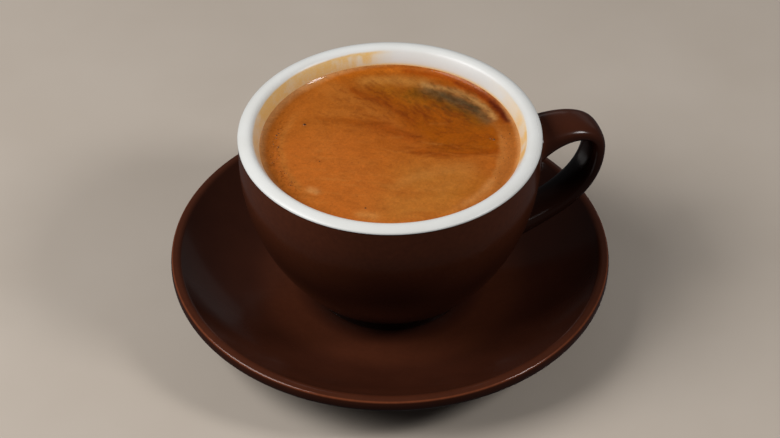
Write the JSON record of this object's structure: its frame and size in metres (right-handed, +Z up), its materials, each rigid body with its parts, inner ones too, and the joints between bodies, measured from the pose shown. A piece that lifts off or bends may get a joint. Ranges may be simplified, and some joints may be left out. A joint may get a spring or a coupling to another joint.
{
  "type": "coffee in a cup with its saucer",
  "caption": "Black coffee under a full crema in a thick-walled brown cup with a white rim and an ear handle, standing on a matching round saucer.",
  "frame": {"origin": "middle of the saucer's foot ring, on the table", "axes": "+Z up along the cup's axis, +X towards the cup's handle"},
  "size_m": [0.152, 0.152, 0.0738],
  "materials": {
    "brown_glaze": "satin dark brown glaze",
    "white_glaze": "glossy white glaze inside the cup and over its rim",
    "coffee": "orange-brown crema with pale streaks"
  },
  "bodies": {
    "root": {"saucer": "brown_glaze", "cup": "brown_glaze", "coffee": "coffee"}
  },
  "joints": []
}
